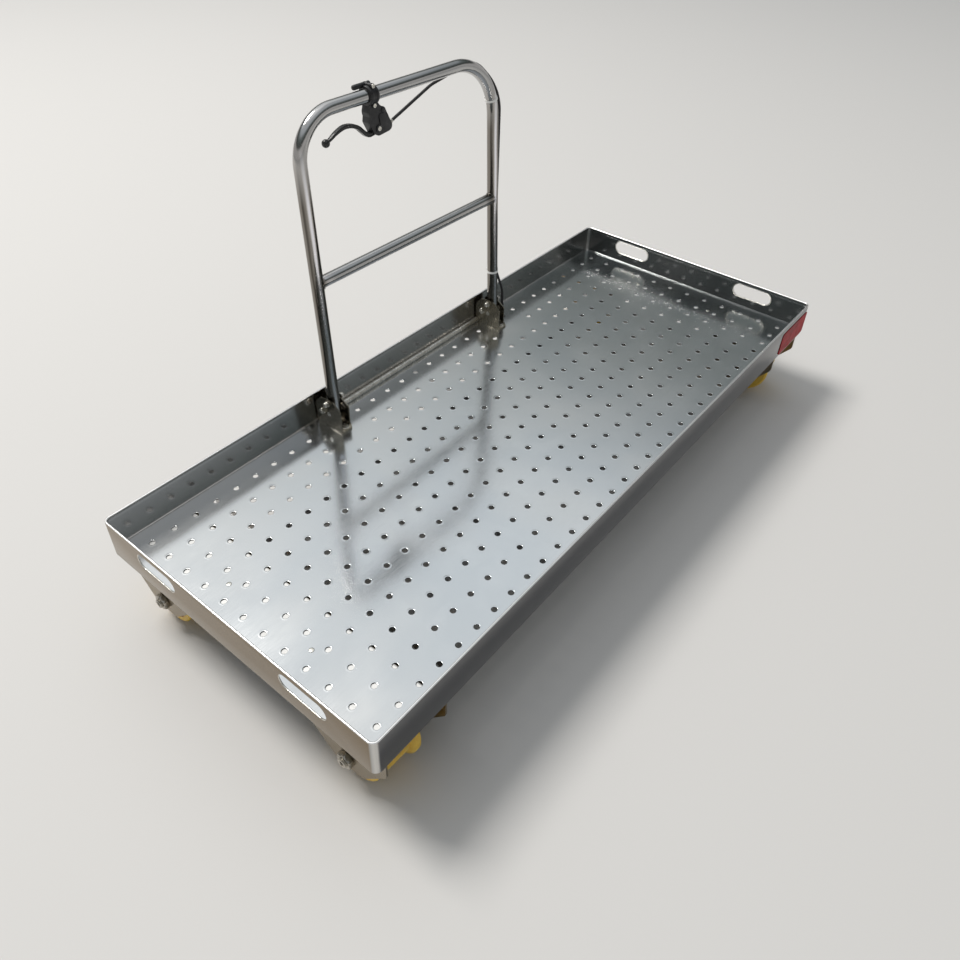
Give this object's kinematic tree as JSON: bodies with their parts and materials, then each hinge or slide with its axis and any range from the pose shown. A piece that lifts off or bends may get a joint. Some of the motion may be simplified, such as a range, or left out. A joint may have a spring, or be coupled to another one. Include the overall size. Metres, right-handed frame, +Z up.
{
  "type": "rail tool trolley",
  "caption": "Hand-pushed rail trolley: a perforated steel tray on flanged wheels, with a folding tube handle and a brake lever.",
  "frame": {"origin": "centre of the footprint, at the lowest point of the wheel flanges", "axes": "+X along the tray, across the track, toward the end with the marker and the brake; +Y toward the side with the handle; +Z up"},
  "size_m": [1.65, 0.7075, 0.879],
  "materials": {
    "deck_steel": "brushed stainless sheet, perforated",
    "wall_steel": "brushed stainless sheet, polished outside",
    "frame_steel": "satin stainless section",
    "hanger_steel": "satin stainless plate",
    "axle_steel": "bright steel",
    "wheel_nylon": "yellow cast nylon, turned",
    "sleeve_steel": "bright steel",
    "bracket_steel": "bright stainless plate",
    "bolt_steel": "bright stainless",
    "tube_steel": "mirror polished stainless tube",
    "clamp_black": "satin black",
    "lever_black": "satin black",
    "blade_black": "satin black",
    "ferrule_black": "satin black",
    "cable_black": "black plastic housing",
    "tie_white": "white nylon",
    "grommet_black": "matte black rubber",
    "marker_red": "red reflector film",
    "brake_steel": "satin steel",
    "shoe_lining": "dark brake lining"
  },
  "bodies": {
    "trolley": {"deck_plate": "deck_steel", "wall_front": "wall_steel", "wall_rear": "wall_steel", "wall_near": "wall_steel", "wall_far": "wall_steel", "rails": "frame_steel", "cross_members": "frame_steel", "end_webs": "hanger_steel", "hangers_outer": "hanger_steel", "hangers_inner": "hanger_steel", "axles": "axle_steel", "bracket_bases": "bracket_steel", "bracket_cheeks": "bracket_steel", "bracket_bolts": "bolt_steel", "foot_rod": "bolt_steel", "cable_lower": "cable_black", "grommet": "grommet_black", "marker": "marker_red", "brake_arms": "brake_steel", "brake_shoes": "shoe_lining", "brake_link": "brake_steel", "cable_stop": "brake_steel", "deck_rivets": "bolt_steel"},
    "handle": {"handle_tube": "tube_steel", "crossbar": "tube_steel", "hinge_shaft": "tube_steel", "lever_clamp": "clamp_black", "lever_body": "lever_black", "lever_blade": "blade_black", "ferrule": "ferrule_black", "cable_upper": "cable_black", "cable_ties": "tie_white"},
    "wheel_near_front": {"wheel_near_front": "wheel_nylon", "sleeve_near_front": "sleeve_steel"},
    "wheel_near_rear": {"wheel_near_rear": "wheel_nylon", "sleeve_near_rear": "sleeve_steel"},
    "wheel_far_front": {"wheel_far_front": "wheel_nylon", "sleeve_far_front": "sleeve_steel"},
    "wheel_far_rear": {"wheel_far_rear": "wheel_nylon", "sleeve_far_rear": "sleeve_steel"}
  },
  "joints": [
    {"name": "near_front_wheel_spin", "type": "hinge", "parent": "trolley", "child": "wheel_near_front", "pos_m": [-0.744, -0.255, 0.074], "axis": [1, 0, 0], "continuous": true},
    {"name": "near_rear_wheel_spin", "type": "hinge", "parent": "trolley", "child": "wheel_near_rear", "pos_m": [-0.744, 0.255, 0.074], "axis": [1, 0, 0], "continuous": true},
    {"name": "far_front_wheel_spin", "type": "hinge", "parent": "trolley", "child": "wheel_far_front", "pos_m": [0.744, -0.255, 0.074], "axis": [1, 0, 0], "continuous": true},
    {"name": "far_rear_wheel_spin", "type": "hinge", "parent": "trolley", "child": "wheel_far_rear", "pos_m": [0.744, 0.255, 0.074], "axis": [1, 0, 0], "continuous": true},
    {"name": "handle_fold", "type": "hinge", "parent": "trolley", "child": "handle", "pos_m": [0.002, 0.307, 0.211], "axis": [1, 0, 0], "range_deg": [0, 86]}
  ]
}
